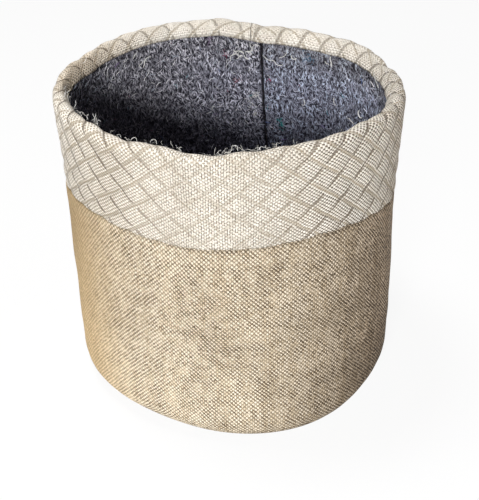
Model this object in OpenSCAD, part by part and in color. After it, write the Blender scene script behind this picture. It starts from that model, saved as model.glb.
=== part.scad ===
// Round fabric grow bag: a burlap bag with a woven collar, lined with thick felt.
// Millimetres, +Z up. The bag stands on the floor at the origin, with its front towards -Y.
// Every panel is a flat sheet bent round and sewn to itself at the back of the bag.

/* [Bag] */
// Height from the floor to the top of the rolled rim
bag_h = 282; // [220:1:360]
// Outside diameter across the rolled rim
rim_d = 300; // [270:1:340]
// Outside diameter at the seam between the burlap and the collar
waist_d = 292; // [262:1:320]
// Outside diameter of the burlap just above its rounded bottom edge
foot_d = 296; // [262:1:320]
// Radius of the rounded bottom edge, outside
foot_round = 22; // [18:1:40]

/* [Collar] */
// Height of the collar from its seam to the top of the rim
collar_h = 86; // [50:1:130]
// Depth of the part of the collar that is turned down inside the rim
facing_h = 5; // [4:0.5:36]
// Distance of the hidden facing seam from the lower edge of the facing
facing_seam_in = 2.5; // [1.5:0.5:8]

/* [Cloth] */
// Thickness of the burlap
burlap_t = 1.6; // [0.8:0.1:2.4]
// Thickness of the collar's jacquard cloth
collar_t = 1.8; // [0.8:0.1:2.4]
// Thickness of the felt lining
felt_t = 8; // [4:0.5:11]
// Width of the flat hem of the felt wall round the felt base
felt_hem = 10; // [8:1:30]

/* [Seams] */
// Diameter of the sewing thread
thread_d = 0.8; // [0.4:0.1:1.4]
// Length of one stitch
stitch_l = 6; // [3:0.5:7]
// Distance from one stitch to the next
stitch_pitch = 10; // [8:0.5:16]
// Clearance between pieces that lie against each other
layer_gap = 0.2; // [0.1:0.05:0.5]
// Turn of the burlap's and the collar's side seams from the middle of the back, in degrees
outer_seam_turn = 8; // [0:1:20]
// Turn of the felt's side seam from the burlap's side seam, in degrees
felt_seam_turn = 5; // [4:1:20]

/* [Hidden] */
$fn = 96;

burlap_colour = "#cbb89c";
collar_colour = "#dcd3c2";
felt_colour = "#6e6e75";
thread_colour = "#d8ccb4";

// Space between the felt and the cloth round it, where the stitches lie
seam_room = thread_d + 3 * layer_gap;
// The rim is the collar rolled over the top edge of the felt
roll_r = felt_t / 2 + seam_room + collar_t;

rim_r = rim_d / 2;
rim_z = bag_h - roll_r;
roll_centre = [rim_r - roll_r, rim_z];
waist_r = waist_d / 2;
waist_z = bag_h - collar_h;
foot_r = foot_d / 2;

// Radius of the flat underside, where the burlap base is sewn in
base_r = foot_r - foot_round;
// Radius of the felt base, inside the hem of the felt wall
felt_base_r = base_r - felt_hem;
felt_floor_z = burlap_t + seam_room;

// The felt's outer face, at the foot, the waist and the rim
felt_foot_r = foot_r - burlap_t - seam_room;
felt_waist_r = waist_r - max(burlap_t, collar_t) - seam_room;
felt_rim_r = rim_r - collar_t - seam_room;

// How far the collar leans out for each millimetre that it rises
collar_lean = (rim_r - waist_r) / (rim_z - waist_z);
// The facing's back, which lies against the felt
facing_z = rim_z - facing_h;
facing_top_r = rim_r - 2 * roll_r + collar_t;
facing_low_r = facing_top_r - facing_h * collar_lean;

back_angle = 90;
outer_seam_angle = back_angle - outer_seam_turn;
felt_seam_angle = outer_seam_angle - felt_seam_turn;

// A panel bent round the bag, whose two side edges meet at seam_angle with layer_gap between them
module bent_panel(seam_angle, r) {
    joint_angle = layer_gap / r * 180 / PI;
    rotate([0, 0, seam_angle + joint_angle / 2])
        rotate_extrude(angle = 360 - joint_angle)
            children();
}

// A layer of cloth inside an outline that runs from low to high, as a cross-section
module layer_section(outline, thickness) {
    last = len(outline) - 1;
    inner = [for (i = [0:last]) outline[last - i] - [thickness, 0]];
    polygon(concat(outline, inner));
}

// A quarter of a ring below and outside its centre: cloth that turns in under the bag
module turned_in_section(centre, outer, thickness) {
    translate(centre)
        intersection() {
            difference() {
                circle(r = outer);
                circle(r = outer - thickness);
            }
            translate([0, -outer])
                square(outer);
        }
}

// The upper half of a disc: the rolled top edge of a layer
module rolled_section(centre, r) {
    translate(centre)
        intersection() {
            circle(r = r);
            translate([-r, 0])
                square([2 * r, r]);
        }
}

module stitch() {
    cylinder(d = thread_d, h = stitch_l, center = true);
}

// Stitches along a level seam round the bag
module stitch_ring(r, z) {
    stitch_count = floor(2 * PI * r / stitch_pitch);
    for (i = [0:stitch_count - 1])
        rotate([0, 0, 360 * (i + 0.5) / stitch_count])
            translate([r, 0, z])
                rotate([90, 0, 0])
                    stitch();
}

// Stitches up a side seam from one point of its cross-section to another
module stitch_row(low, high, seam_angle) {
    rise = high - low;
    stitch_count = floor((norm(rise) - stitch_l) / stitch_pitch) + 1;
    spare = norm(rise) - stitch_l - (stitch_count - 1) * stitch_pitch;
    rotate([0, 0, seam_angle])
        for (i = [0:stitch_count - 1]) {
            along = (spare / 2 + stitch_l / 2 + i * stitch_pitch) / norm(rise);
            place = low + along * rise;
            translate([place[0], 0, place[1]])
                rotate([0, atan2(rise[0], rise[1]), 0])
                    stitch();
        }
}

// The hidden side seams run in the space between the outer cloth and the felt
module lower_side_row(seam_angle) {
    stitch_row(
        [foot_r - burlap_t - seam_room / 2, foot_round],
        [waist_r - burlap_t - seam_room / 2, waist_z - stitch_l / 2],
        seam_angle
    );
}

module upper_side_row(seam_angle) {
    stitch_row(
        [waist_r - collar_t - seam_room / 2, waist_z] + stitch_l / 2 * [collar_lean, 1],
        [rim_r - collar_t - seam_room / 2, rim_z],
        seam_angle
    );
}

module burlap_wall() {
    color(burlap_colour)
        bent_panel(outer_seam_angle, foot_r) {
            layer_section([[foot_r, foot_round], [waist_r, waist_z - layer_gap / 2]], burlap_t);
            turned_in_section([base_r, foot_round], foot_round, burlap_t);
        }
}

module burlap_base() {
    color(burlap_colour)
        cylinder(r = base_r - layer_gap, h = burlap_t);
}

module collar() {
    color(collar_colour)
        bent_panel(outer_seam_angle, rim_r) {
            layer_section([[waist_r, waist_z + layer_gap / 2], [rim_r, rim_z]], collar_t);
            difference() {
                rolled_section(roll_centre, roll_r);
                translate(roll_centre)
                    circle(r = roll_r - collar_t);
            }
            layer_section([[facing_low_r, facing_z], [facing_top_r, rim_z]], collar_t);
        }
}

module felt_wall() {
    color(felt_colour)
        bent_panel(felt_seam_angle, felt_rim_r) {
            layer_section(
                [[felt_foot_r, foot_round], [felt_waist_r, waist_z], [felt_rim_r, rim_z]],
                felt_t
            );
            rolled_section(roll_centre, felt_t / 2);
            turned_in_section([base_r, foot_round], foot_round - felt_floor_z, felt_t);
            translate([felt_base_r, felt_floor_z])
                square([felt_hem, felt_t]);
        }
}

module felt_base() {
    color(felt_colour)
        translate([0, 0, felt_floor_z])
            cylinder(r = felt_base_r - layer_gap, h = felt_t);
}

module burlap_side_thread() {
    color(thread_colour)
        lower_side_row(outer_seam_angle);
}

module collar_side_thread() {
    color(thread_colour)
        upper_side_row(outer_seam_angle);
}

module collar_seam_thread() {
    color(thread_colour)
        stitch_ring(felt_waist_r + seam_room / 2, waist_z);
}

module base_seam_thread() {
    color(thread_colour)
        stitch_ring(base_r, burlap_t + seam_room / 2);
}

module felt_side_thread() {
    color(thread_colour) {
        lower_side_row(felt_seam_angle);
        upper_side_row(felt_seam_angle);
    }
}

module felt_base_thread() {
    color(thread_colour)
        stitch_ring(felt_base_r, burlap_t + seam_room / 2);
}

module facing_thread() {
    seam_r = facing_low_r + facing_seam_in * collar_lean + seam_room / 2;
    color(thread_colour)
        stitch_ring(seam_r, facing_z + facing_seam_in);
}

burlap_wall();
burlap_base();
collar();
felt_wall();
felt_base();
burlap_side_thread();
collar_side_thread();
collar_seam_thread();
base_seam_thread();
felt_side_thread();
felt_base_thread();
facing_thread();
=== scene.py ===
import math
import random

import bmesh
import bpy
from mathutils import Matrix, Vector, noise


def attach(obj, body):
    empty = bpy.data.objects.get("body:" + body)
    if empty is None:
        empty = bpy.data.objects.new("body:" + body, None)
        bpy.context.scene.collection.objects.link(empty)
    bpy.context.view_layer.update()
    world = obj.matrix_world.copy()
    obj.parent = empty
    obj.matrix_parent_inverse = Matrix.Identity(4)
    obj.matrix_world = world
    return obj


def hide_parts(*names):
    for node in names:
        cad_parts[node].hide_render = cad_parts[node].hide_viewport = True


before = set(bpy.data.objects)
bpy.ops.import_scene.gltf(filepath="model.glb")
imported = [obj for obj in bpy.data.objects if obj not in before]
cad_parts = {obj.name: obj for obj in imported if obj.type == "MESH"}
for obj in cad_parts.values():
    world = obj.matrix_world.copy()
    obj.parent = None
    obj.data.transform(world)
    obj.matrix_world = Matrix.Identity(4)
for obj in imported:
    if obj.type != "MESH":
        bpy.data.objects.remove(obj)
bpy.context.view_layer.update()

# Camera: it stands in front of the bag and looks down into its mouth, with a
# medium-long lens.
camera_data = bpy.data.cameras.new("camera")
camera_data.sensor_width = 36.0
camera_data.lens = 72.0
camera = bpy.data.objects.new("camera", camera_data)
camera.location = (0.0067, -0.8102, 0.5990)
camera.rotation_euler = (math.radians(90 - 31.25), 0, 0)
bpy.context.scene.collection.objects.link(camera)
bpy.context.scene.camera = camera
bpy.context.scene.view_settings.view_transform = "Standard"


# Studio: a wide white paper floor that runs out to a white surround, a lamp low
# in front at the left, a softer one high up over the bag and a weak one at the right.
class Shade:
    """A socket of a material, so that shader maths is written as plain sums."""

    def __init__(self, tree, socket=None):
        self.tree = tree
        self.socket = socket

    def node(self, kind, settings, inputs, output=0):
        made = self.tree.nodes.new(kind)
        for name, value in settings.items():
            setattr(made, name, value)
        for name, value in inputs.items():
            if isinstance(value, Shade):
                self.tree.links.new(value.socket, made.inputs[name])
            else:
                made.inputs[name].default_value = value
        return Shade(self.tree, made.outputs[output])

    def math(self, operation, *others):
        inputs = dict(enumerate((self, *others)))
        return self.node("ShaderNodeMath", {"operation": operation}, inputs)

    def __add__(self, other):
        return self.math("ADD", other)

    __radd__ = __add__

    def __sub__(self, other):
        return self.math("SUBTRACT", other)

    def __rsub__(self, other):
        return self.math("MULTIPLY_ADD", -1, other)

    def __mul__(self, other):
        return self.math("MULTIPLY", other)

    __rmul__ = __mul__

    def __truediv__(self, other):
        return self.math("DIVIDE", other)

    def floor(self):
        return self.math("FLOOR")

    def most(self, other):
        return self.math("MAXIMUM", other)

    def least(self, other):
        return self.math("MINIMUM", other)

    def size(self):
        return self.math("ABSOLUTE")

    def odd(self):
        """1 for an odd whole number, 0 for an even one."""
        return self.math("PINGPONG", 1)

    def wave(self):
        return self.math("COSINE")

    def ramp(self, low, high):
        """0 below low, 1 above high and smooth between them."""
        return self.node(
            "ShaderNodeMapRange",
            {"interpolation_type": "SMOOTHSTEP"},
            {"Value": self, "From Min": low, "From Max": high},
        )

    def blend(self, first, second, blend_type="MIX"):
        """The first colour where this is 0, the second where it is 1."""
        return self.node(
            "ShaderNodeMix",
            {"data_type": "RGBA", "blend_type": blend_type},
            {0: self, 6: first, 7: second},
            2,
        )

    def axis(self, number):
        return self.node("ShaderNodeSeparateXYZ", {}, {0: self}, number)

    def feed(self, shader, socket):
        self.tree.links.new(self.socket, shader.inputs[socket])


def new_material(name):
    material = bpy.data.materials.new(name)
    material.use_nodes = True
    return material, Shade(material.node_tree), material.node_tree.nodes["Principled BSDF"]


def set_finish(shader, roughness, shine):
    shader.inputs["Roughness"].default_value = roughness
    shader.inputs["Specular IOR Level"].default_value = shine


def seen_directly(start):
    """1 where the camera sees a surface by itself or in a mirror or glass."""
    path = [start.node("ShaderNodeLightPath", {}, {}, name) for name in
            ("Is Camera Ray", "Is Glossy Ray", "Is Transmission Ray")]
    return path[0].most(path[1]).most(path[2])


def new_object(name, mesh):
    data = bpy.data.meshes.new(name)
    mesh.to_mesh(data)
    mesh.free()
    piece = bpy.data.objects.new(name, data)
    bpy.context.scene.collection.objects.link(piece)
    return piece


surround_light = 0.01
world = bpy.data.worlds.new("studio")
world.use_nodes = True
bpy.context.scene.world = world
backdrop = world.node_tree.nodes["Background"]
backdrop.inputs["Color"].default_value = (1, 1, 1, 1)
start = Shade(world.node_tree)
(surround_light + (1 - surround_light) * seen_directly(start)).feed(backdrop, "Strength")

floor_size = 6.0
floor_drop = 0.0003
floor_white = (0.93, 0.93, 0.93, 1)
shadow_share = 0.08
mesh = bmesh.new()
bmesh.ops.create_grid(mesh, x_segments=1, y_segments=1, size=floor_size / 2)
bmesh.ops.translate(mesh, verts=mesh.verts, vec=(0, 0, -floor_drop))
floor = new_object("floor", mesh)
material, start, paper = new_material("white_paper")
paper.inputs["Base Color"].default_value = floor_white
set_finish(paper, 0.9, 0.5)
glow = start.node("ShaderNodeEmission", {}, {"Color": (1, 1, 1, 1), "Strength": 1.0})
lit = Shade(material.node_tree, paper.outputs[0])
floor_look = start.node(
    "ShaderNodeMixShader", {}, {0: seen_directly(start) * (1 - shadow_share), 1: lit, 2: glow}
)
floor_look.feed(material.node_tree.nodes["Material Output"], "Surface")
floor.data.materials.append(material)

lamp_aim = Vector((0, 0, 0.16))
lamp_distance = 1.8


def turned(turn, side, height):
    """A place beside the bag's axis, at a turn and a height."""
    return Vector((side * math.cos(turn), side * math.sin(turn), height))


def lamp(name, turn, climb, size, power):
    """A square soft lamp that looks at the middle of the bag."""
    climb = math.radians(climb)
    towards = turned(math.radians(turn), math.cos(climb), math.sin(climb))
    data = bpy.data.lights.new(name, "AREA")
    data.size = size
    data.energy = power
    light = bpy.data.objects.new(name, data)
    light.location = lamp_aim + towards * lamp_distance
    light.rotation_euler = towards.to_track_quat("Z", "Y").to_euler()
    bpy.context.scene.collection.objects.link(light)


lamp("key_lamp", -102, 19.5, 0.3, 27)
lamp("top_lamp", 165, 76, 0.5, 27)
lamp("right_lamp", -10, 2, 0.3, 9)


# Burlap wall: one length of natural jute hessian in plain weave, bent round and
# seamed at the back, turned in under the bag with a soft rounded bottom edge.
foot_round = 0.022
foot_radius = 0.148
waist_radius = 0.146
waist_height = 0.196
rim_height = 0.2748
rim_radius = 0.150
base_radius = foot_radius - foot_round
burlap_thickness = 0.0016
outer_seam_turn = math.radians(82)
seam_slit = 0.0002

# How the standing bag leaves the true round at three levels: how far it sways to
# the right and to the back, and its waves round the bag, each as (number of
# lobes, depth in metres, turn of one lobe in degrees).
foot_sway = (0.0024, 0.0015)
waist_sway = (-0.0011, 0)
rim_sway = (-0.0011, -0.0013)
foot_waves = [(2, 0.0006, -14)]
waist_waves = [(0, 0.0006, 0), (2, 0.0008, -13)]
waist_rises = [
    (0, -0.0012, 0), (1, 0.0025, -150), (2, 0.0024, 77), (3, 0.0013, -53), (4, 0.0029, 37),
]
rim_rises = [
    (0, -0.0023, 0), (1, 0.0015, 69), (2, 0.0019, -64), (3, 0.0011, -18), (4, 0.0012, 34),
]
# The soft bottom edge is fuller or flatter from place to place, up to this height:
# (turn, width, depth).
edge_height = 0.060
edge_swells = [
    (-150, 26, -0.0018), (-120, 26, -0.0061), (-90, 26, 0.0045), (-60, 26, 0.0080),
    (-30, 26, -0.0049),
]
# The rim is fuller at the left corner, where the bag was folded flat for sale, and flatter at
# the right: (turn, width, depth).
rim_swells = [(180, 16, 0.0017), (8, 18, -0.0016)]
# Small humps and dips of the rolled rim: (turn, width, height).
rim_humps = [
    (-112, 8, 0.0020), (-103, 6, -0.0014), (-94, 5, -0.0019), (-87, 4, 0.0010), (-74, 5, 0.0011),
    (-127, 8, -0.0014), (-43, 5, 0.0016), (95, 6, 0.0022), (77, 7, -0.0022), (38, 5, 0.0012),
    (16, 6, -0.0025), (168, 7, 0.0032),
]
# Slack and dents of the cloth, out and in, and ripples up and down: depth and size.
slack_depth, slack_size = 0.0009, 0.045
dent_depth, dent_size = 0.0005, 0.018
ripple_height, ripple_size = 0.0005, 0.03
# Nothing is slack where the bag stands on the floor.
slack_from = 0.03


def waved(waves, turn):
    """How deep the waves are together at a turn."""
    return sum(depth * math.cos(lobes * (turn - math.radians(lobe))) for lobes, depth, lobe in waves)


def hump(turn, centre, width):
    away = math.remainder(turn - math.radians(centre), math.tau) / math.radians(width)
    return math.exp(-away * away)


def humped(humps, turn):
    """How high the humps are together at a turn."""
    return sum(height * hump(turn, centre, width) for centre, width, height in humps)


def share_between(value, low, high):
    return min(max((value - low) / (high - low), 0), 1)


def ramp(value, low, high):
    """0 at low, 1 at high and smooth between them."""
    share = share_between(value, low, high)
    return share * share * (3 - 2 * share)


def standing(point):
    """Where a point of the true round bag lies on the soft bag that stands on the floor."""
    radius = math.hypot(point.x, point.y)
    turn = math.atan2(point.y, point.x)
    above_foot = share_between(point.z, foot_round, waist_height)
    rim_share = share_between(point.z, waist_height, rim_height)
    foot_share = 1 - above_foot
    waist_share = above_foot - rim_share
    out = (
        foot_share * waved(foot_waves, turn)
        + waist_share * waved(waist_waves, turn)
        + rim_share * humped(rim_swells, turn)
    )
    near_floor = max(1 - point.z / edge_height, 0) ** 2
    out += near_floor * humped(edge_swells, turn)
    spot = turned(turn, foot_radius, point.z)
    above_floor = ramp(point.z, 0, slack_from)
    out += slack_depth * above_floor * noise.noise(spot / slack_size)
    out += dent_depth * above_floor * noise.noise(spot / dent_size + Vector((7, 3, 1)))
    rise = waist_share * waved(waist_rises, turn) + rim_share * waved(rim_rises, turn)
    rise += rim_share ** 3 * humped(rim_humps, turn)
    rise += ripple_height * above_foot * noise.noise(spot / ripple_size + Vector((2, 5, 9)))
    sway = [foot_share * foot + waist_share * waist + rim_share * rim
            for foot, waist, rim in zip(foot_sway, waist_sway, rim_sway)]
    return point + turned(turn, out * radius / foot_radius, rise) + Vector((*sway, 0))


def new_outline(radius, height):
    """A new outline, low to high, with its first point."""
    mesh = bmesh.new()
    mesh.verts.layers.float.new("along")
    return mesh, mesh.verts.new((radius, 0, height))


def point_at(mesh, place):
    return min(mesh.verts, key=lambda point: (point.co - Vector(place)).length)


def run(mesh, end, to, cuts):
    """Goes on from the end of an outline in a straight line."""
    edge = mesh.edges.new((end, mesh.verts.new(to)))
    bmesh.ops.subdivide_edges(mesh, edges=[edge], cuts=cuts)
    return point_at(mesh, to)


def bend(mesh, end, centre, angle, steps):
    """Goes on from the end of an outline in an arc, in the plane of the outline."""
    made = bmesh.ops.spin(
        mesh, geom=[end], cent=centre, axis=(0, 1, 0), angle=math.radians(angle), steps=steps
    )
    return [part for part in made["geom_last"] if isinstance(part, bmesh.types.BMVert)][0]


def measure_outline(mesh, start):
    """Notes at each point of an outline how far along it the point lies, from its start."""
    layer = mesh.verts.layers.float["along"]
    last, end, length = None, point_at(mesh, start), 0.0
    while True:
        end[layer] = length
        onward = [edge for edge in end.link_edges if edge.other_vert(end) != last]
        if not onward:
            return
        last, end = end, onward[0].other_vert(end)
        length += (end.co - last.co).length


# Keeps the first edge of a panel from being counted as a full turn.
first_edge = 0.001


def bent_panel(mesh, seam_turn, wide_radius, steps):
    """Turns an outline round the bag into a panel whose side edges meet at its seam, with a
    map in metres: how far round from the seam, and how far along the outline."""
    slit = seam_slit / wide_radius
    begin = seam_turn + slit / 2
    bmesh.ops.rotate(mesh, verts=mesh.verts, cent=(0, 0, 0), matrix=Matrix.Rotation(begin, 3, "Z"))
    bmesh.ops.spin(
        mesh, geom=mesh.verts[:] + mesh.edges[:], cent=(0, 0, 0), axis=(0, 0, 1),
        angle=math.tau - slit, steps=steps,
    )
    along = mesh.verts.layers.float["along"]
    cloth_map = mesh.loops.layers.uv.new("cloth")
    for face in mesh.faces:
        for corner in face.loops:
            place = corner.vert.co
            turn = (math.atan2(place.y, place.x) - begin + first_edge) % math.tau - first_edge
            corner[cloth_map].uv = (turn * wide_radius, corner.vert[along])


def face_outwards(mesh, inside=False):
    """Makes the faces of a wall look away from the bag's axis, or towards it for the inside."""
    bmesh.ops.recalc_face_normals(mesh, faces=mesh.faces)
    level = Vector((1, 1, 0))
    outwards = sum(face.calc_area() * face.normal.dot(face.calc_center_median() * level)
                   for face in mesh.faces)
    if (outwards > 0) == inside:
        bmesh.ops.reverse_faces(mesh, faces=mesh.faces)


def stand_up(mesh):
    """Moves a finished mesh onto the standing bag and shades it smooth."""
    for point in mesh.verts:
        point.co = standing(point.co)
    for face in mesh.faces:
        face.smooth = True


def sewn_piece(name, mesh, thickness, material):
    """Sets a finished sheet on the standing bag, gives it its thickness and its cloth."""
    stand_up(mesh)
    piece = new_object(name, mesh)
    wall = piece.modifiers.new("thickness", "SOLIDIFY")
    wall.thickness = thickness
    wall.offset = -1
    piece.data.materials.append(material)
    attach(piece, "root")
    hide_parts(name)
    piece.name = name + "_cloth"
    return piece


# How much a yarn falls off to its sides, how far it lifts over the next, and how far apart the
# noises of two yarns lie.
yarn_round = 3.2
yarn_lift = 0.7
yarn_apart = 7.31


def round_from_seam(turn, radius):
    """How far round from the outer side seam a turn lies, as the cloth's map counts it."""
    return ((turn - outer_seam_turn) % math.tau) * radius


def grain(place, scale, detail, roughness=0.5):
    """Flat noise over a cloth's map."""
    return place.node(
        "ShaderNodeTexNoise", {"noise_dimensions": "2D"},
        {"Vector": place, "Scale": scale, "Detail": detail, "Roughness": roughness},
    )


def flat_place(first, second):
    """A place on a flat map, from two values."""
    return first.node("ShaderNodeCombineXYZ", {}, {0: first, 1: second})


def plain_weave(across, along, pitch_across, pitch_along, slant):
    """Yarns that pass over and under each other, with floats that slant a little as the twist of
    the yarns makes them. Gives the heights of the warp and of the weft, and the numbers of the
    two yarns that cross there."""
    warp_number = (across / pitch_across).floor()
    weft_number = (along / pitch_along).floor()
    off_warp = across / pitch_across - warp_number - 0.5
    off_weft = along / pitch_along - weft_number - 0.5
    over = 2 * (warp_number + weft_number).odd() - 1
    warp_side = off_warp + slant * off_weft
    weft_side = off_weft + slant * off_warp
    warp_top = 1 - yarn_round * warp_side * warp_side + yarn_lift * over * (math.pi * off_weft).wave()
    weft_top = 1 - yarn_round * weft_side * weft_side - yarn_lift * over * (math.pi * off_warp).wave()
    return warp_top, weft_top, warp_number, weft_number


def yarn_slubs(number, along, seed, slub_length):
    """The thick and thin places along a yarn."""
    return grain(flat_place(number * yarn_apart + seed, along / slub_length), 1.0, 2.0, 0.6)


def yarn_tone(number, along, seed, slub_length):
    """How light a yarn is, from yarn to yarn and along its thick and thin places."""
    own = number.node("ShaderNodeTexWhiteNoise", {"noise_dimensions": "1D"}, {"W": number + seed})
    return 0.45 * own + 0.55 * yarn_slubs(number, along, seed, slub_length)


def cloth_place(start, wander, wander_size):
    """The piece's own map, with the small sideways wandering of real yarns."""
    flat = start.node("ShaderNodeUVMap", {"uv_map": "cloth"}, {})
    drift = start.node(
        "ShaderNodeTexNoise", {"noise_dimensions": "2D"},
        {"Vector": flat, "Scale": 1 / wander_size, "Detail": 4.0}, "Color",
    )
    across = flat.axis(0) + wander * (drift.axis(0) - 0.5)
    along = flat.axis(1) + wander * (drift.axis(1) - 0.5)
    return flat, across, along


def raise_cloth(height, shader, strength, distance):
    """Makes the yarns or fibres stand up from the cloth by a distance in metres."""
    inputs = {"Strength": strength, "Distance": distance, "Height": height}
    height.node("ShaderNodeBump", {}, inputs).feed(shader, "Normal")


tuck_width = 0.003
tuck_depth = 0.0004
burlap_pitch_across = 0.00187
burlap_pitch_along = 0.00194
straw_light = (0.89, 0.785, 0.63, 1)
straw_gold = (0.74, 0.615, 0.445, 1)
straw_even = (0.47, 0.385, 0.265, 1)
straw_mid = (0.35, 0.275, 0.178, 1)
straw_dark = (0.17, 0.125, 0.076, 1)
straw_smooth = (0.60, 0.49, 0.345, 1)
straw_gap = (0.085, 0.056, 0.033, 1)
painted_warm_light = (1.0, 0.875, 0.66, 1)
shade_brown = (0.64, 0.575, 0.53, 1)
shade_umber = (0.20, 0.165, 0.145, 1)
painted_bounce_light = (1.15, 1.16, 1.17, 1)
painted_collar_shade = (0.84, 0.83, 0.82, 1)
painted_low_shade = (0.64, 0.62, 0.60, 1)

burlap, start, jute = new_material("natural_burlap")
flat, across, along = cloth_place(start, 0.0016, 0.014)
twist = grain(flat, 28.0, 2.0)
# The yarns lean the other way at the left of the front.
lean_turn = math.radians(-109)
lean = (across - round_from_seam(lean_turn, foot_radius)).ramp(-0.020, 0.020) * 1.1 - 0.4
warp_top, weft_top, warp_number, weft_number = plain_weave(
    across, along, burlap_pitch_across, burlap_pitch_along, lean + 1.6 * (twist - 0.5)
)
cloth_top = warp_top.most(weft_top)
speckle = grain(flat, 480.0, 1.0)
# Smoother round the left side with painted warm light, rougher round the right with painted brown shade.
past_left = across - round_from_seam(math.pi, foot_radius)
right_away = (across - round_from_seam(0, foot_radius)).size()
lit_left = past_left.ramp(-0.250, -0.030) * past_left.ramp(0.165, 0.050)
smooth = past_left.ramp(-0.240, -0.040) * past_left.ramp(0.135, 0.055)
rough = right_away.ramp(0.170, 0.060)
shaded_right = right_away.ramp(0.240, 0.050)
crossing = flat_place(warp_number, weft_number)
own_tone = start.node("ShaderNodeTexWhiteNoise", {"noise_dimensions": "2D"}, {"Vector": crossing})
specks = grain(flat_place(0.5 * across, along), 420.0, 2.0)
warp_shows = warp_top - weft_top + (2.2 + 1.2 * smooth) * (speckle - 0.5) + 0.7 * (own_tone - 0.5)
warp_shows = (warp_shows + (3 + 3 * rough) * (specks - 0.5)).ramp(-0.5, 0.4)
warp_tone = yarn_tone(warp_number, along, 3.0, 0.006)
weft_tone = yarn_tone(weft_number, across, 91.0, 0.006)
patch = grain(flat, 22.0, 3.0)
# The weave is open in some places and closed up in others, most of all round the left side.
open_weave = grain(flat, 85.0, 3.0, 0.6)
open_weave = open_weave.ramp(0.34, 0.60) * (1 - 0.6 * lit_left)
warp_colour = 0.5 * warp_tone + 0.2 * patch + 0.3 * own_tone
warp_colour = warp_colour.ramp(0.66, 0.26).blend(straw_light, straw_gold)
weft_colour = (0.6 * weft_tone + 0.4 * own_tone).ramp(0.25, 0.75).blend(straw_dark, straw_mid)
weft_colour = (0.3 + 0.7 * open_weave).blend(straw_even, weft_colour)
shown = warp_shows.blend(weft_colour, warp_colour)
shown = (cloth_top.ramp(0.95, 0.45) * (0.4 + 0.6 * open_weave)).blend(shown, straw_gap)
shown = (0.54 * smooth).blend(shown, straw_smooth)
streaks = grain(flat_place(across, 0.12 * along), 95.0, 2.0)
shown = (0.4 * shaded_right * streaks.ramp(0.48, 0.60)).blend(shown, straw_mid)
# Painted warm light round the left side.
shown = lit_left.blend(shown, painted_warm_light, "MULTIPLY")
# Painted brown shade round the right side.
shown = shaded_right.blend(shown, warp_shows.blend(shade_umber, shade_brown), "MULTIPLY")
# Near the floor it has painted bounce light at the front and painted shade round the right side, and
# under the collar it has painted shade round the left side.
near_floor = along.ramp(0.115, 0.055)
shown = (near_floor * (1 - shaded_right)).blend(shown, painted_bounce_light, "MULTIPLY")
shown = (near_floor * shaded_right).blend(shown, painted_low_shade, "MULTIPLY")
shown = (along.ramp(0.115, 0.185) * lit_left).blend(shown, painted_collar_shade, "MULTIPLY")
shown.feed(jute, "Base Color")
fuzz = grain(flat, 2600.0, 2.0)
raise_cloth(cloth_top + 0.4 * warp_tone + 0.4 * weft_tone + 0.3 * fuzz, jute, 0.7, 0.0007)
set_finish(jute, 0.85, 0.2)

mesh, end = new_outline(base_radius, 0)
end = bend(mesh, end, (base_radius, 0, foot_round), -90, 9)
run(mesh, end, (waist_radius, 0, waist_height - seam_slit / 2), 47)
measure_outline(mesh, (base_radius, 0, 0))
bent_panel(mesh, outer_seam_turn, foot_radius, 240)
face_outwards(mesh)
# Its top edge is drawn in a little by the seam at the waist.
for point in mesh.verts:
    tuck = ramp(point.co.z, waist_height - tuck_width, waist_height)
    point.co -= Vector((point.co.x, point.co.y, 0)).normalized() * tuck_depth * tuck * tuck
burlap_wall = sewn_piece("burlap_wall", mesh, burlap_thickness, burlap)

# Burlap base: a round of the same jute hessian, sewn into the turned-in edge of
# the wall. It lies flat on whatever the bag stands on.
middle_radius = 0.004


def round_panel(radius, height, rings, steps, looks_up, map_middle):
    """A flat round of cloth with a map in metres, turned from a line and closed in the middle."""
    mesh, end = new_outline(middle_radius, height)
    run(mesh, end, (radius, 0, height), rings)
    bmesh.ops.spin(
        mesh, geom=mesh.verts[:] + mesh.edges[:], cent=(0, 0, 0), axis=(0, 0, 1), angle=math.tau,
        steps=steps, use_merge=True,
    )
    open_edges = [edge for edge in mesh.edges if edge.is_boundary]
    middle = [edge for edge in open_edges if edge.verts[0].co.xy.length < 2 * middle_radius]
    bmesh.ops.holes_fill(mesh, edges=middle)
    bmesh.ops.recalc_face_normals(mesh, faces=mesh.faces)
    if (mesh.faces[:][0].normal.z > 0) != looks_up:
        bmesh.ops.reverse_faces(mesh, faces=mesh.faces)
    cloth_map = mesh.loops.layers.uv.new("cloth")
    for face in mesh.faces:
        for corner in face.loops:
            corner[cloth_map].uv = corner.vert.co.xy + Vector(map_middle)
    return mesh


mesh = round_panel(base_radius - seam_slit, 0, 20, 96, False, (0, 0))
burlap_base = sewn_piece("burlap_base", mesh, burlap_thickness, burlap)

# Collar: a band of cream jacquard cloth with a diagonal basket-weave pattern. It
# is sewn to the burlap at the waist and rolled over the felt's top edge.
collar_thickness = 0.0018
roll_radius = 0.0072
facing_depth = 0.005
fold_square = 3.2
facing_flare = 0.0025
facing_drop = 0.0022
drop_turn, drop_width = 58, 32
plump_height, plump_count = 0.0006, 9
collar_lean = (rim_radius - waist_radius) / (rim_height - waist_height)
pattern_width = 0.02825
pattern_height = 0.024
pattern_turn = math.radians(-135.5)
pattern_rise = 0.042
ground_pitch_across = 0.00207
ground_pitch_along = 0.00164
groove_half = 0.0020
crease_half = 0.0011
pattern_fan = 1.6
cream_light = (0.99, 0.93, 0.84, 1)
cream_warm = (0.86, 0.79, 0.69, 1)
cream_even = (0.55, 0.48, 0.385, 1)
cream_shade = (0.40, 0.33, 0.24, 1)
cream_deep = (0.17, 0.135, 0.095, 1)
corner_brown = (0.90, 0.835, 0.75, 1)
cream_edge_shade = (0.76, 0.73, 0.70, 1)
groove_colour = (0.42, 0.345, 0.245, 1)
crease_shade = (0.11, 0.08, 0.055, 1)

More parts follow.
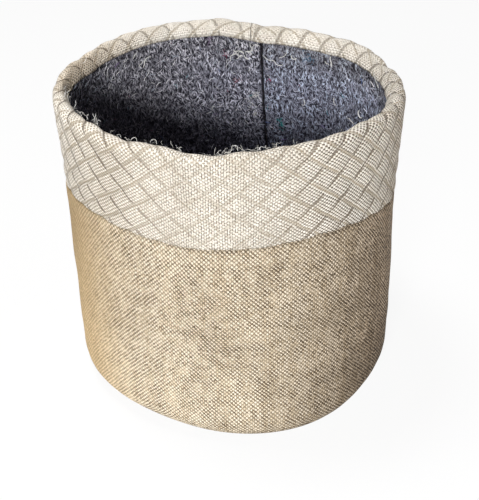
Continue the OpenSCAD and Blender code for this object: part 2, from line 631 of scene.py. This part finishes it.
jacquard, start, cotton = new_material("cream_jacquard")
flat, across, along = cloth_place(start, 0.0018, 0.013)
twist = grain(flat, 24.0, 2.0)
lean = (across - round_from_seam(lean_turn, rim_radius)).ramp(-0.02, 0.02) * 0.6 - 0.3
warp_top, weft_top, warp_number, weft_number = plain_weave(
    across, along, ground_pitch_across, ground_pitch_along, lean + 2 * (twist - 0.5)
)
speckle = grain(flat, 420.0, 1.0)
# The weave has more contrast round the sides than in the middle of the front, with a darker ground and
# stronger grooves there: painted shade of the cloth's relief.
front_middle = round_from_seam(-math.pi / 2, rim_radius)
front = across - front_middle
rightward = front.ramp(0.0, 0.09)
leftward = front.ramp(-0.02, -0.11)
back = front.size().ramp(0.22, 0.34)
shaded_sides = rightward.most(leftward)
cloth_top = warp_top.most(weft_top)
on_rim = along.ramp(0.080, 0.092)
# The rim is darker and browner, with fewer light floats, at the left corner and behind it.
darker_corner = on_rim * front.ramp(-0.19, -0.24) * front.ramp(-0.41, -0.27)
warp_shows = warp_top - weft_top + (4.4 - 3.2 * shaded_sides + 1.8 * back) * (speckle - 0.5)
warp_shows = warp_shows + 0.25 * (1 - shaded_sides) + 0.5 * (shaded_sides * on_rim).most(1.4 * back) - 0.35 * darker_corner
# More of the light warp shows round the far left: painted light.
warp_shows = warp_shows + 0.7 * front.ramp(-0.13, -0.19) * (1 - 0.6 * on_rim)
warp_shows = warp_shows.ramp(-0.85, 0.15)
warp_tone = yarn_tone(warp_number, along, 17.0, 0.02)
weft_tone = yarn_tone(weft_number, across, 53.0, 0.02)
tone = 0.5 * (warp_tone + weft_tone)
dashes = yarn_slubs((across / ground_pitch_across + 0.5).floor(), along, 29.0, 0.0014).ramp(0.40, 0.60)

# The diagonal lines of the pattern pass over and under each other. They are worked
# out half on the true place and half on the yarns' own steps.
pattern_start = ((pattern_turn + math.pi / 2) % math.tau - math.tau) * rim_radius
stepped_across = 0.5 * (across + ground_pitch_across * (warp_number + 0.5)) - front_middle
stepped_along = 0.5 * (along + ground_pitch_along * (weft_number + 0.5)) - pattern_rise
columns = (stepped_across * (1 + pattern_fan * stepped_along) - pattern_start) / pattern_width
rows = stepped_along / pattern_height
line_step = pattern_width * pattern_height / math.hypot(pattern_width, pattern_height)
up_lines = columns - rows
down_lines = columns + rows
near_up = (up_lines + 0.5).floor()
near_down = (down_lines + 0.5).floor()
off_up = (up_lines - near_up).size() * line_step
off_down = (down_lines - near_down).size() * line_step
up_through = (near_up + near_down).odd()
break_half = 0.0026
up_there = 1 - (1 - up_through) * off_down.ramp(break_half, 0.8 * break_half)
down_there = 1 - up_through * off_up.ramp(break_half, 0.8 * break_half)
groove = (off_up.ramp(groove_half, 0.3 * groove_half) * up_there * (1 - 0.5 * rightward)).most(
    off_down.ramp(groove_half, 0.3 * groove_half) * down_there * (1 - 0.5 * leftward))
# A sharp crease runs down the middle of one of the two, as the bag has been folded.
crease_wide = crease_half * (1 + (0.3 + 0.5 * rightward) * on_rim)
crease = (off_up.ramp(crease_wide, 0.25 * crease_wide) * up_there * rightward).most(
    off_down.ramp(crease_wide, 0.25 * crease_wide) * down_there * leftward) * (0.7 + 0.3 * dashes)
pillow = off_up.least(off_down).ramp(0.0, 0.006)

patch = grain(flat, 30.0, 3.0)
warp_colour = (0.6 * tone + 0.4 * patch).ramp(0.62, 0.34).blend(cream_light, cream_warm)
# Round the sides the ground between the light floats is darker, darkest at the right: painted shade.
ground = rightward.blend(leftward.blend(cream_even, cream_shade), cream_deep)
ground = (back * (1 - 0.7 * darker_corner)).blend(ground, cream_even)
ground = (0.7 * darker_corner).blend(ground, cream_deep)
shown = warp_shows.blend(ground, warp_colour)
off_warp = (across / ground_pitch_across - warp_number - 0.5).size()
shown = (0.9 * (1 - shaded_sides) * off_warp.ramp(0.15, 0.46) * dashes).blend(shown, cream_deep)
# The grooves are a darker tan, partly the pattern's own colour and partly painted shade that grows round
# the sides; the dark creases are painted shade.
shown = ((0.36 + 0.34 * shaded_sides) * groove).blend(shown, groove_colour)
shown = ((0.92 - 0.45 * back * (1 - darker_corner)) * crease).blend(shown, crease_shade)
shown = darker_corner.blend(shown, corner_brown, "MULTIPLY")
# It is darker and a little browner round the right side: painted shade.
right_away = (across - round_from_seam(0, rim_radius)).size()
far_right = right_away.ramp(0.100, 0.045) * (1 - on_rim)
shown = far_right.blend(shown, cream_edge_shade, "MULTIPLY")
shown.feed(cotton, "Base Color")
raise_cloth(
    0.8 * cloth_top + 0.3 * tone + 0.9 * pillow - 0.6 * groove - 0.6 * crease, cotton, 0.8, 0.0010
)
set_finish(cotton, 0.8, 0.2)

mesh, end = new_outline(waist_radius, waist_height + seam_slit / 2)
end = run(mesh, end, (rim_radius, 0, rim_height), 23)
roll_centre = (rim_radius - roll_radius, 0, rim_height)
end = bend(mesh, end, roll_centre, -180, 14)
facing_radius = rim_radius - 2 * roll_radius
run(mesh, end, (facing_radius - facing_depth * collar_lean, 0, rim_height - facing_depth), 2)
measure_outline(mesh, (waist_radius, 0, waist_height))
bent_panel(mesh, outer_seam_turn, rim_radius, 240)
face_outwards(mesh)
along_layer = mesh.verts.layers.float["along"]
facing_end = max(point[along_layer] for point in mesh.verts)
# It is pinched together at the fold of the left corner, a little behind it, and at the right:
# (turn, width, share).
rim_pinches = [(180, 12, 0.7), (149, 9, 0.22), (16, 18, 0.38)]


def pinched(turn):
    """By what share the rim is pinched together at a turn."""
    return sum(
        share * math.exp(-abs(math.remainder(turn - math.radians(centre), math.tau)) / math.radians(width))
        for centre, width, share in rim_pinches
    )


# From its top the roll slopes down inwards, in a curve with this middle point, to the lower edge
# of the facing, which stands off the felt and hangs lower at the back right.
roll_top = facing_end - facing_depth * math.hypot(1, collar_lean) - math.pi / 2 * roll_radius
slope_top = Vector((0, roll_radius))
slope_middle = Vector((-0.0055, 0.0070))
slope_end = Vector((-roll_radius - facing_flare, -facing_depth))
for point in mesh.verts:
    outward = Vector((point.co.x, point.co.y, 0)).normalized()
    turn = math.atan2(point.co.y, point.co.x)
    tuck = ramp(point[along_layer], tuck_width, 0)
    point.co -= outward * tuck_depth * tuck * tuck
    from_roll = point.co - outward * roll_centre[0] - Vector((0, 0, rim_height))
    plump = plump_height * noise.noise(turned(turn, plump_count, 0))
    if point[along_layer] > roll_top:
        share = (point[along_layer] - roll_top) / (facing_end - roll_top)
        left = 1 - share
        place = slope_top * left ** 2 + slope_middle * 2 * share * left + slope_end * share ** 2
        place.x *= 1 - pinched(turn)
        place.y -= facing_drop * share * share * hump(turn, drop_turn, drop_width)
        point.co = outward * (roll_centre[0] + place.x) + Vector((0, 0, rim_height + place.y))
        point.co.z += plump * left
    elif from_roll.z > 0:
        sideways = from_roll.dot(outward) / roll_radius
        upward = from_roll.z / roll_radius
        square = (abs(sideways) ** fold_square + upward ** fold_square) ** (-1 / fold_square)
        point.co += from_roll * (square - 1) + from_roll.normalized() * plump * upward
# The cloth puffs out a little between the creases.
puff_height = 0.0010
puff_width = 0.007
puff_inset = 0.6
pressed_half = 0.09
mesh.normal_update()
for point in mesh.verts:
    rise = point[along_layer] - pattern_rise
    side = round_from_seam(math.atan2(point.co.y, point.co.x), rim_radius) - front_middle
    column = (side * (1 + pattern_fan * rise) - pattern_start) / pattern_width
    line = column - math.copysign(rise / pattern_height, side)
    off_line = abs(line - round(line)) * line_step
    puff = ramp(off_line, 0, puff_width) - puff_inset
    point.co += point.normal * puff_height * puff * ramp(abs(side), 0, pressed_half)
collar = sewn_piece("collar", mesh, collar_thickness, jacquard)

# Felt wall: one thick sheet of needled grey felt from recycled fibre, bent round
# inside the burlap, with a butted side seam and a flat hem round the base.
felt_thickness = 0.008
felt_floor = 0.003
felt_hem = 0.010
seam_room = 0.0014
felt_seam_turn = math.radians(77)
felt_pit = (0.025, 0.023, 0.030, 1)
felt_grey = (0.27, 0.265, 0.305, 1)
felt_pale = (0.82, 0.80, 0.865, 1)
felt_blue = (0.63, 0.68, 0.77, 1)
felt_cool = (0.96, 1.0, 1.11, 1)
felt_rim_shadow = (0.50, 0.48, 0.48, 1)
stroke_length = 0.0048
stroke_width = 0.0016


def strokes(start, across, along, slope, seed):
    """Matted fibres, as short curved strokes that run mostly at one slope."""
    slope = math.radians(slope)
    lengthwise = across * math.cos(slope) + along * math.sin(slope)
    sideways = along * math.cos(slope) - across * math.sin(slope)
    inputs = {0: lengthwise / stroke_length, 1: sideways / stroke_width, 2: seed}
    place = start.node("ShaderNodeCombineXYZ", {}, inputs)
    return start.node("ShaderNodeTexNoise", {}, {"Vector": place, "Scale": 1.0, "Detail": 2.0})


felt, start, wool = new_material("grey_felt")
flat, across, along = cloth_place(start, 0.010, 0.014)
fibres = strokes(start, across, along, 55, 1.0)
fibres = fibres.most(strokes(start, across, along, 100, 5.0))
fibres = fibres.most(strokes(start, across, along, 150, 9.0) - 0.04)
clumps = grain(flat, 60.0, 3.0)
patch = grain(flat, 26.0, 2.0)
# The fibres are bluer on one half of the sheet.
sheet_place = flat.axis(0)
bluer = sheet_place.ramp(0.55, 0.85) + 1.6 * (patch - 0.5)
pale = bluer.ramp(0.2, 0.8).blend(felt_pale, felt_blue)
grey = fibres.ramp(0.49, 0.60).blend(felt_pit, felt_grey)
grey = (fibres + 0.2 * (clumps - 0.5)).ramp(0.60, 0.68).blend(grey, pale)
# It is cooler low at the right.
low_right = sheet_place.ramp(0.68, 0.78).most(0.6 * sheet_place.ramp(0.14, 0.03))
low_right = low_right * along.ramp(0.275, 0.235)
grey = low_right.blend(grey, felt_cool, "MULTIPLY")
# It is darker round the left side, below a line that climbs to the left: painted shadow of the front rim.
rim_shadow = (0.5 * sheet_place + 0.135 - along).ramp(-0.035, 0.020) * sheet_place.ramp(0.42, 0.33)
grey = rim_shadow.blend(grey, felt_rim_shadow, "MULTIPLY")
# The butted edges of the seam lie deep in shade.
sheet_length = math.tau * rim_radius - seam_slit
seam_away = sheet_place.least(sheet_length - sheet_place)
grey = (0.9 * seam_away.ramp(0.0022, 0.0008)).blend(grey, felt_pit)
grey.feed(wool, "Base Color")
raise_cloth(1.5 * fibres + 0.6 * clumps, wool, 0.7, 0.0010)
set_finish(wool, 0.95, 0.1)

floor_top = felt_floor + felt_thickness
waist_felt = waist_radius - collar_thickness - seam_room - felt_thickness
rim_felt = rim_radius - collar_thickness - seam_room - felt_thickness
felt_thin = 0.0006
mesh, end = new_outline(base_radius - felt_hem, floor_top)
end = run(mesh, end, (base_radius, 0, floor_top), 2)
end = bend(mesh, end, (base_radius, 0, foot_round), -90, 6)
end = run(mesh, end, (waist_felt, 0, waist_height), 44)
run(mesh, end, (rim_felt, 0, rim_height), 20)
measure_outline(mesh, (base_radius - felt_hem, 0, floor_top))
bent_panel(mesh, felt_seam_turn, rim_radius, 240)
face_outwards(mesh, inside=True)
# The seam runs down a little aslant between two heights: radians for each metre, and the height
# where it crosses its true place.
seam_slant = math.radians(28.4)
seam_crossing = 0.227
slant_low, slant_high = 0.10, 0.255
# The seam lies in a groove, the felt follows the pinches of the rim, and its face is lumpy.
seam_groove, groove_reach = 0.0018, 0.004
pinch_follow = 0.0043
lump_height = 0.0004
lump_size, small_lump_size = 0.011, 0.005
small_lump_share = 0.6


def seam_lean(height):
    """How far the felt is turned at a height, for the slant of its seam."""
    return seam_slant * (min(max(height, slant_low), slant_high) - seam_crossing)


for point in mesh.verts:
    turn = math.atan2(point.co.y, point.co.x)
    from_seam = abs(math.remainder(turn - felt_seam_turn, math.tau)) * rim_radius
    point.co.rotate(Matrix.Rotation(seam_lean(point.co.z), 3, "Z"))
    outward = Vector((point.co.x, point.co.y, 0)).normalized()
    if point.co.z > foot_round:
        point.co += outward * seam_groove * (1 - ramp(from_seam, 0, groove_reach))
        point.co += outward * pinch_follow * pinched(turn) * ramp(point.co.z, waist_height, rim_height)
        lumps = noise.noise(point.co / lump_size)
        lumps += small_lump_share * noise.noise(point.co / small_lump_size)
        point.co += outward * lump_height * lumps
felt_wall = sewn_piece("felt_wall", mesh, felt_thickness - felt_thin, felt)

# Felt base: a round of the same felt, sewn into the hem of the felt wall. The
# soil lies on it.
base_lump_height, base_lump_size = 0.0005, 0.012
base_sink = 0.0003
base_thin = 0.0008
# It takes its grey from a part of the felt's map that has no seam and no painted shadow.
mesh = round_panel(base_radius - felt_hem - seam_slit, floor_top, 26, 120, True, (0.56, 0.20))
for point in mesh.verts:
    point.co.z += base_lump_height * noise.noise(point.co / base_lump_size) - base_sink
felt_base = sewn_piece("felt_base", mesh, felt_thickness - base_thin, felt)

# Felt fibres: short curled ends of grey and coloured wool and cotton that stand
# out of the felt's face, where the needles have pulled them.
fibre_radius = 0.0003
fibre_length = 0.0050
fibre_count = 6000
# How far below the rim they begin, how deep they reach, and how far off the seam they stay.
fibre_top = 0.006
fibre_depth = 0.225
seam_clear = 0.003
# As on the felt, they are cooler low at the right, and darker low at the left under the painted shadow of
# the front rim, whose edge climbs with the turn.
cool_turns, cool_height = (-20, 70), 0.25
shadow_from_turn, shadow_to_turn = 100, -145
shadow_height, shadow_climb = 0.020, 0.00137
# Each colour with how often it comes.
fibre_colours = [
    (22, (0.58, 0.56, 0.63)), (18, (0.50, 0.54, 0.62)), (16, (0.24, 0.24, 0.27)),
    (26, (0.03, 0.03, 0.035)), (18, (0.92, 0.91, 0.93)), (0.7, (0.10, 0.30, 0.34)),
    (0.7, (0.42, 0.13, 0.20)), (0.6, (0.13, 0.20, 0.42)), (0.6, (0.30, 0.22, 0.40)),
]
# Tufts of dyed fibre: turn, height, spread, number and colour.
fibre_tufts = [
    (68.4, 0.182, 0.005, 36, (0.06, 0.40, 0.41)), (57.2, 0.257, 0.006, 30, (0.12, 0.25, 0.38)),
    (88.3, 0.226, 0.005, 16, (0.46, 0.22, 0.28)), (74.4, 0.2285, 0.002, 4, (0.45, 0.05, 0.14)),
    (92.4, 0.252, 0.003, 8, (0.42, 0.10, 0.18)), (98.8, 0.266, 0.006, 14, (0.32, 0.22, 0.36)),
    (80.0, 0.212, 0.004, 26, (0.82, 0.81, 0.80)), (79.4, 0.192, 0.004, 18, (0.82, 0.81, 0.78)),
    (81.5, 0.204, 0.006, 20, (0.70, 0.70, 0.72)),
]


def tinted_material(name, roughness, shine):
    """A finish that takes its colour from each fibre."""
    material, start, fibre = new_material(name)
    tint = start.node("ShaderNodeAttribute", {"attribute_name": "tint"}, {}, "Color")
    tint.feed(fibre, "Base Color")
    set_finish(fibre, roughness, shine)
    return material


def tinted_mesh():
    mesh = bmesh.new()
    mesh.verts.layers.float_color.new("tint")
    return mesh


# How often a fibre bends back the other way, and how thin its tip is.
swerve_chance = 0.25
tip_share = 0.4


def curl(chance, length, radius, bending, segments):
    """A thread that starts at the origin and runs along X, with a random curl."""
    mesh = tinted_mesh()
    across = Matrix.Rotation(math.pi / 2, 4, "Y")
    ring = bmesh.ops.create_circle(mesh, segments=3, radius=radius, matrix=across)
    edges = list({edge for point in ring["verts"] for edge in point.link_edges})
    heading = Vector((1, 0, 0))
    centre = Vector((0, 0, 0))
    swerve = chance.choice((-1, 1))
    for number in range(segments):
        made = bmesh.ops.extrude_edge_only(mesh, edges=edges)["geom"]
        points = [part for part in made if isinstance(part, bmesh.types.BMVert)]
        edges = [part for part in made if isinstance(part, bmesh.types.BMEdge)
                 and all(point in points for point in part.verts)]
        turn = Matrix.Rotation(swerve * bending * chance.uniform(0.3, 1.7), 3, "Z")
        lift = Matrix.Rotation(bending * chance.uniform(-0.5, 0.5), 3, "Y")
        heading = lift @ turn @ heading
        bmesh.ops.rotate(mesh, verts=points, cent=centre, matrix=lift @ turn)
        bmesh.ops.translate(mesh, verts=points, vec=heading * length / segments)
        centre += heading * length / segments
        if chance.random() < swerve_chance:
            swerve = -swerve
    bmesh.ops.scale(mesh, verts=points, vec=[tip_share] * 3, space=Matrix.Translation(-centre))
    data = bpy.data.meshes.new("curl")
    mesh.to_mesh(data)
    mesh.free()
    return data


foot_felt = foot_radius - burlap_thickness - seam_room - felt_thickness


def felt_face(turn, height):
    """A place on the inner face of the true round felt wall."""
    if height < waist_height:
        share = (height - foot_round) / (waist_height - foot_round)
        radius = foot_felt + (waist_felt - foot_felt) * share
    else:
        share = (height - waist_height) / (rim_height - waist_height)
        radius = waist_felt + (rim_felt - waist_felt) * share
    return turned(turn, radius, height)


def scatter(mesh, curls, chance, place, inward, direction, size, colour):
    """Lays one of the curls at a place, with its start in the face and its length along it."""
    side = inward.cross(direction).normalized()
    stand = Matrix((direction, side, inward)).transposed().to_4x4()
    data = chance.choice(curls).copy()
    data.transform(Matrix.Translation(place) @ stand @ Matrix.Scale(size, 4))
    data.attributes["tint"].data.foreach_set("color", (*colour, 1) * len(data.vertices))
    mesh.from_mesh(data)
    bpy.data.meshes.remove(data)


def lay_fibre(mesh, curls, chance, turn, height, slope, lift, size, colour, clear=0):
    """Lays a curl on the felt's face or a little clear of it, at a slope to the level."""
    inward = -turned(turn, 1, 0)
    around = turned(turn + math.pi / 2, 1, 0)
    direction = around * math.cos(slope) + Vector((0, 0, 1)) * math.sin(slope)
    direction = (direction + inward * lift).normalized()
    inward = (inward - direction * inward.dot(direction)).normalized()
    place = felt_face(turn, height) + inward * clear
    scatter(mesh, curls, chance, place, inward, direction, size, colour)


def toned(colour, tone):
    return [part * share for part, share in zip(colour, tone)]


def tint_piece(name, mesh, curls, material):
    """Makes one piece of all the curls that were laid, and removes their patterns."""
    for data in curls:
        bpy.data.meshes.remove(data)
    stand_up(mesh)
    piece = new_object(name, mesh)
    piece.data.materials.append(material)
    return piece


chance = random.Random(11)
curls = [curl(chance, fibre_length, fibre_radius, 0.36, 4) for number in range(14)]
shares, colours = zip(*fibre_colours)
mesh = tinted_mesh()
for number in range(fibre_count):
    turn = chance.uniform(-180, 180)
    height = rim_height - fibre_top - fibre_depth * chance.random() ** 1.3
    seam_turn = felt_seam_turn + seam_lean(height)
    from_seam = math.remainder(math.radians(turn) - seam_turn, math.tau) * rim_radius
    if abs(from_seam) < seam_clear:
        continue
    # They lie steep at the left and lean over towards the seam.
    slope = 55 + 45 * ramp(turn, 100, 140) + 8 * ramp(turn, 80, 55) + chance.gauss(0, 32)
    lift = chance.uniform(0, 0.35)
    size = chance.uniform(0.5, 1.4)
    colour = chance.choices(colours, shares)[0]
    if cool_turns[0] < turn < cool_turns[1] and height < cool_height:
        colour = toned(colour, felt_cool)
    # Painted shadow of the front rim, low at the left.
    if turn < shadow_to_turn or turn > shadow_from_turn and height < shadow_height + shadow_climb * turn:
        colour = toned(colour, felt_rim_shadow)
    lay_fibre(mesh, curls, chance, math.radians(turn), height, math.radians(slope), lift, size, colour)
for turn, height, spread, count, colour in fibre_tufts:
    for number in range(count):
        lay_fibre(
            mesh, curls, chance, math.radians(turn) + chance.gauss(0, spread / 2) / rim_radius,
            height + chance.gauss(0, spread / 2), chance.uniform(0, math.tau), chance.uniform(0.1, 0.5),
            chance.uniform(0.4, 0.9), colour,
        )
loose_wool = tinted_material("felt_fibres", 0.9, 0.1)
felt_fibres = tint_piece("felt_fibres", mesh, curls, loose_wool)
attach(felt_fibres, "root")

# Loose yarns: pale cotton ends from the cut edge of the collar that cling to the
# felt, and fine frayed loops that stand up along the inner edge of the rim.
yarn_radius = 0.0006
strand_radius = 0.00036
frayed_radius = 0.00019
yarn_cream = (1.0, 0.99, 0.96)
yarn_grey = (0.78, 0.76, 0.71)
# How far the yarns stand off the felt, and how much they lift along their length.
yarn_clear = 0.0012
yarn_rise = 0.08
# Turn, height, slope in degrees and length in metres of each clinging yarn, and of each finer
# strand.
yarn_ends = [
    (88.0, 0.2545, -30, 0.006), (87.0, 0.2510, 35, 0.009), (86.3, 0.2560, -70, 0.007),
    (85.0, 0.2530, 100, 0.006), (84.2, 0.2560, 150, 0.008), (89.0, 0.2515, 20, 0.010),
    (87.2, 0.2535, -15, 0.008), (86.0, 0.2500, 60, 0.006), (85.6, 0.2545, 10, 0.010),
    (84.6, 0.2520, -40, 0.007), (82.6, 0.2560, 175, 0.010), (64.5, 0.2570, -45, 0.009),
    (46.3, 0.2650, -84, 0.012), (47.2, 0.2560, 70, 0.006), (24.6, 0.2220, -60, 0.014),
    (124.6, 0.2560, 40, 0.015),
]
yarn_strands = [
    (83.5, 0.2550, 195, 0.020), (77.0, 0.2540, 188, 0.026), (70.0, 0.2530, 196, 0.022),
    (13.6, 0.2635, 30, 0.020), (130.5, 0.2505, 80, 0.008), (135.5, 0.2615, 30, 0.006),
    (133.0, 0.2600, 100, 0.006), (57.8, 0.2140, -55, 0.010), (43.0, 0.2240, -60, 0.009),
    (97.6, 0.1990, 30, 0.006),
]
# The frayed loops, more of them at the front: their number and length, and how far they move out
# with the pinches of the rim.
frayed_count = 120
frayed_length = 0.0080
frayed_follow = 0.006

chance = random.Random(5)
mesh = tinted_mesh()
for ends, radius in ((yarn_ends, yarn_radius), (yarn_strands, strand_radius)):
    for turn, height, slope, length in ends:
        curls = [curl(chance, length, radius, 0.40, 9)]
        lay_fibre(
            mesh, curls, chance, math.radians(turn), height, math.radians(slope), yarn_rise, 1.0,
            yarn_cream, yarn_clear,
        )
        bpy.data.meshes.remove(curls[0])
curls = [curl(chance, frayed_length, frayed_radius, 0.55, 6) for number in range(12)]
for number in range(frayed_count):
    turn = math.radians(chance.choice((chance.uniform(-170, -75), chance.uniform(-180, 180))))
    out = turned(turn, 1, 0)
    around = turned(turn + math.pi / 2, 1, 0)
    side = facing_radius + chance.uniform(0.0010, 0.0035) + frayed_follow * pinched(turn)
    place = turned(turn, side, rim_height + chance.uniform(0.0048, 0.0062))
    direction = Vector((0, 0, chance.uniform(0.4, 1)))
    direction -= out * chance.uniform(0.2, 0.9)
    direction += around * chance.uniform(-0.8, 0.8)
    direction.normalize()
    out = (out - direction * out.dot(direction)).normalized()
    size = chance.uniform(0.4, 1.1)
    colour = chance.choice((yarn_cream, yarn_grey))
    scatter(mesh, curls, chance, place, out, direction, size, colour)
loose_cotton = tinted_material("loose_cotton", 0.85, 0.2)
loose_yarns = tint_piece("loose_yarns", mesh, curls, loose_cotton)
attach(loose_yarns, "root")

# Sewing thread: short running stitches of twisted natural thread that hold the
# panels together. They lie hidden between the layers, along each seam.
thread_radius = 0.0004
stitch_length = 0.006
stitch_pitch = 0.010
under_felt = burlap_thickness + seam_room / 2
thread_pale = (0.68, 0.60, 0.46, 1)
thread_shade = (0.44, 0.37, 0.26, 1)

thread, start, spun = new_material("twisted_thread")
place = start.node("ShaderNodeTexCoord", {}, {}, "Object")
strands = start.node(
    "ShaderNodeTexWave", {"wave_type": "BANDS", "bands_direction": "DIAGONAL"},
    {"Vector": place, "Scale": 420.0, "Distortion": 0.6}, "Fac",
)
strands.blend(thread_shade, thread_pale).feed(spun, "Base Color")
raise_cloth(strands, spun, 0.5, 0.0002)
set_finish(spun, 0.7, 0.5)


def add_stitch(mesh, centre, direction):
    """One stitch: a thread that thins towards both ends, where it goes into the cloth."""
    made = bmesh.ops.create_uvsphere(mesh, u_segments=6, v_segments=4, radius=1)["verts"]
    bmesh.ops.scale(mesh, verts=made, vec=(thread_radius, thread_radius, stitch_length / 2))
    lay = direction.to_track_quat("Z", "Y").to_matrix()
    bmesh.ops.rotate(mesh, verts=made, cent=(0, 0, 0), matrix=lay)
    bmesh.ops.translate(mesh, verts=made, vec=centre)


def stitch_ring(mesh, radius, height):
    """Stitches along a level seam."""
    count = math.floor(math.tau * radius / stitch_pitch)
    for number in range(count):
        turn = math.tau * (number + 0.5) / count
        add_stitch(mesh, turned(turn, radius, height), turned(turn + math.pi / 2, 1, 0))


def stitch_row(mesh, low, high, turn):
    """Stitches up a side seam, from one point of the cross-section to another."""
    rise = Vector(high) - Vector(low)
    count = math.floor((rise.length - stitch_length) / stitch_pitch) + 1
    spare = rise.length - stitch_length - (count - 1) * stitch_pitch
    for number in range(count):
        distance = spare / 2 + stitch_length / 2 + number * stitch_pitch
        place = Vector(low) + rise.normalized() * distance
        add_stitch(mesh, turned(turn, *place), turned(turn, *rise))


def lower_row(mesh, turn):
    """The stitches of a side seam below the waist."""
    inset = burlap_thickness + seam_room / 2
    stitch_row(
        mesh, (foot_radius - inset, foot_round),
        (waist_radius - inset, waist_height - stitch_length / 2), turn,
    )


def upper_row(mesh, turn):
    """The stitches of a side seam above the waist."""
    inset = collar_thickness + seam_room / 2
    stitch_row(
        mesh, (waist_radius - inset + stitch_length / 2 * collar_lean, waist_height + stitch_length / 2),
        (rim_radius - inset, rim_height), turn,
    )


def sew(name, mesh):
    """Makes a seam's stitches one piece."""
    stand_up(mesh)
    piece = new_object(name, mesh)
    piece.data.materials.append(thread)
    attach(piece, "root")
    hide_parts(name)
    piece.name = name + "_stitches"


mesh = bmesh.new()
lower_row(mesh, outer_seam_turn)
sew("burlap_side_thread", mesh)

mesh = bmesh.new()
upper_row(mesh, outer_seam_turn)
sew("collar_side_thread", mesh)

mesh = bmesh.new()
stitch_ring(mesh, waist_radius - collar_thickness - seam_room / 2, waist_height)
sew("collar_seam_thread", mesh)

mesh = bmesh.new()
stitch_ring(mesh, base_radius, under_felt)
sew("base_seam_thread", mesh)

mesh = bmesh.new()
lower_row(mesh, felt_seam_turn)
upper_row(mesh, felt_seam_turn)
sew("felt_side_thread", mesh)

mesh = bmesh.new()
stitch_ring(mesh, base_radius - felt_hem, under_felt)
sew("felt_base_thread", mesh)

mesh = bmesh.new()
facing_seam_rise = 0.0025
facing_back = facing_radius + collar_thickness - (facing_depth - facing_seam_rise) * collar_lean
stitch_ring(mesh, facing_back + seam_room / 2, rim_height - facing_depth + facing_seam_rise)
sew("facing_thread", mesh)
